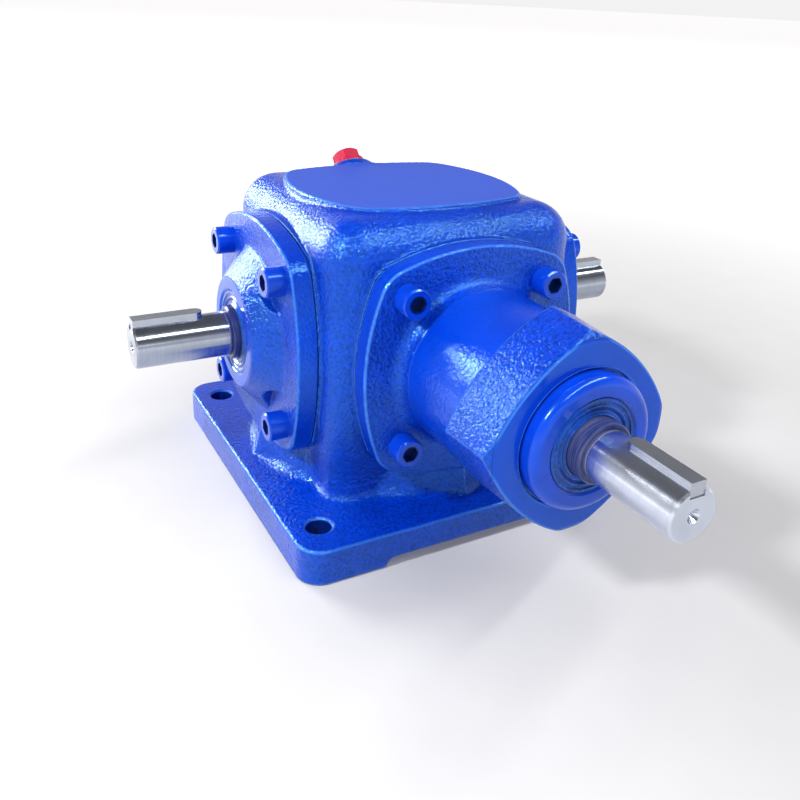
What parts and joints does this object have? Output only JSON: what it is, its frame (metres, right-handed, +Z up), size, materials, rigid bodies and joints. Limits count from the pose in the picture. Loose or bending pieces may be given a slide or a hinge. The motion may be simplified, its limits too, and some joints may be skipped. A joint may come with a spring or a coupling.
{
  "type": "right angle bevel gearbox",
  "caption": "Right angle bevel gearbox: cast square-footed housing, through cross shaft keyed at both ends and a keyed input shaft in a long bolted snout.",
  "frame": {"origin": "centre of the foot's underside, midway between its four holes", "axes": "+X along the cross shaft, towards its right end as the input shaft's end is faced; the input shaft points to -Y; +Z up out of the foot"},
  "size_m": [0.3174, 0.3569, 0.1881],
  "materials": {
    "cast_paint": "gloss blue enamel over cast iron",
    "ground_steel": "ground",
    "key_steel": "bright drawn",
    "gear_steel": "cut and lapped",
    "bearing_steel": "ground and polished",
    "cage_steel": "pressed",
    "spring_steel": "drawn",
    "shim_steel": "dark",
    "seal_rubber": "moulded, overpainted at its face",
    "plug_red": "gloss red",
    "plug_steel": "zinc plated",
    "gauge_brass": "turned",
    "gauge_glass": "clear",
    "copper": "soft copper washer"
  },
  "bodies": {
    "gearbox_casing": {"housing": "cast_paint", "left_cover": "cast_paint", "right_cover": "cast_paint", "left_cover_shim": "shim_steel", "right_cover_shim": "shim_steel", "left_cover_screws": "cast_paint", "right_cover_screws": "cast_paint", "left_oil_seal": "seal_rubber", "right_oil_seal": "seal_rubber", "left_seal_spring": "spring_steel", "right_seal_spring": "spring_steel", "left_bearing_outer_ring": "bearing_steel", "right_bearing_outer_ring": "bearing_steel", "input_snout": "cast_paint", "snout_shim": "shim_steel", "snout_screws": "cast_paint", "inner_bearing_outer_ring": "bearing_steel", "outer_bearing_outer_ring": "bearing_steel", "snout_end_cap": "cast_paint", "input_oil_seal": "seal_rubber", "input_seal_spring": "spring_steel", "breather_plug": "plug_red", "breather_washer": "copper", "drain_plug": "plug_steel", "drain_washer": "copper", "oil_level_gauge": "gauge_brass", "oil_level_lens": "gauge_glass", "oil_level_washer": "copper"},
    "cross_shaft_assembly": {"cross_shaft": "ground_steel", "left_shaft_key": "key_steel", "right_shaft_key": "key_steel", "gear_key": "key_steel", "bevel_gear": "gear_steel", "gear_spacer_sleeve": "gear_steel", "left_bearing_inner_ring": "bearing_steel", "right_bearing_inner_ring": "bearing_steel"},
    "input_shaft_assembly": {"input_shaft": "ground_steel", "input_shaft_key": "key_steel", "bevel_pinion": "gear_steel", "pinion_key": "key_steel", "pinion_retaining_ring": "spring_steel", "inner_bearing_inner_ring": "bearing_steel", "outer_bearing_inner_ring": "bearing_steel", "bearing_lock_washer": "gear_steel", "bearing_lock_nut": "gear_steel"},
    "left_roller_set": {"left_bearing_rollers": "bearing_steel", "left_bearing_cage": "cage_steel"},
    "right_roller_set": {"right_bearing_rollers": "bearing_steel", "right_bearing_cage": "cage_steel"},
    "inner_roller_set": {"inner_bearing_rollers": "bearing_steel", "inner_bearing_cage": "cage_steel"},
    "outer_roller_set": {"outer_bearing_rollers": "bearing_steel", "outer_bearing_cage": "cage_steel"}
  },
  "joints": [
    {"name": "cross_shaft_turn", "type": "hinge", "parent": "gearbox_casing", "child": "cross_shaft_assembly", "pos_m": [0, 0, 0.102], "axis": [1, 0, 0], "continuous": true},
    {"name": "input_shaft_turn", "type": "hinge", "parent": "gearbox_casing", "child": "input_shaft_assembly", "pos_m": [0, 0, 0.102], "axis": [0, 1, 0], "continuous": true},
    {"name": "left_roller_set_turn", "type": "hinge", "parent": "gearbox_casing", "child": "left_roller_set", "pos_m": [0, 0, 0.102], "axis": [1, 0, 0], "continuous": true},
    {"name": "right_roller_set_turn", "type": "hinge", "parent": "gearbox_casing", "child": "right_roller_set", "pos_m": [0, 0, 0.102], "axis": [1, 0, 0], "continuous": true},
    {"name": "inner_roller_set_turn", "type": "hinge", "parent": "gearbox_casing", "child": "inner_roller_set", "pos_m": [0, 0, 0.102], "axis": [0, 1, 0], "continuous": true},
    {"name": "outer_roller_set_turn", "type": "hinge", "parent": "gearbox_casing", "child": "outer_roller_set", "pos_m": [0, 0, 0.102], "axis": [0, 1, 0], "continuous": true}
  ],
  "couplings": [
    {"joint": "input_shaft_turn", "follows": "cross_shaft_turn", "ratio": -1},
    {"joint": "left_roller_set_turn", "follows": "cross_shaft_turn", "ratio": 0.42},
    {"joint": "right_roller_set_turn", "follows": "cross_shaft_turn", "ratio": 0.42},
    {"joint": "inner_roller_set_turn", "follows": "cross_shaft_turn", "ratio": -0.42},
    {"joint": "outer_roller_set_turn", "follows": "cross_shaft_turn", "ratio": -0.42}
  ]
}
